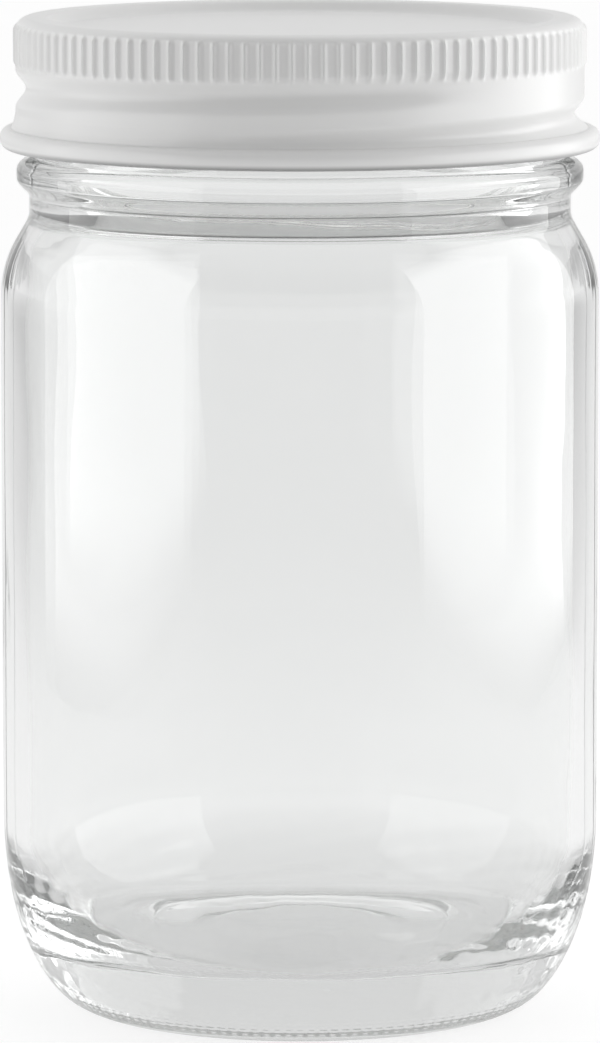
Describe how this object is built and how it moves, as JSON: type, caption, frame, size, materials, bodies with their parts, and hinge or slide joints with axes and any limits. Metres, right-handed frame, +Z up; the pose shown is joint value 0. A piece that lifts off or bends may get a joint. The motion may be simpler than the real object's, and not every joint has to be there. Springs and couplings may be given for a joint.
{
  "type": "glass jar with screw lid",
  "caption": "Clear glass jar with a rounded shoulder, bead and threaded neck, closed by a white knurled metal screw lid with a sealing ring.",
  "frame": {"origin": "centre of the jar's footprint, on the plane it stands on", "axes": "+Z up along the jar's axis, from the base to the lid; the jar is round, so X and Y only set where the thread starts"},
  "size_m": [0.0762, 0.0762, 0.1269],
  "materials": {
    "clear_glass": "clear, fire-polished, with a slightly wavy surface",
    "white_enamel": "white baked enamel on tinplate, satin gloss",
    "sealing_compound": "off-white moulded sealing compound, satin"
  },
  "bodies": {
    "jar": {"glass_jar": "clear_glass"},
    "lid_seal": {"lid_gasket": "sealing_compound"},
    "lid": {"lid_shell": "white_enamel"}
  },
  "joints": [
    {"name": "lid_rise", "type": "slide", "parent": "jar", "child": "lid_seal", "axis": [0, 0, 1], "range_m": [0, 0.01588]},
    {"name": "lid_turn", "type": "hinge", "parent": "lid_seal", "child": "lid", "pos_m": [0, 0, 0.1103], "axis": [0, 0, 1], "range_deg": [0, 900]}
  ],
  "couplings": [
    {"joint": "lid_rise", "follows": "lid_turn", "m_per_rad": 0.0010106}
  ]
}
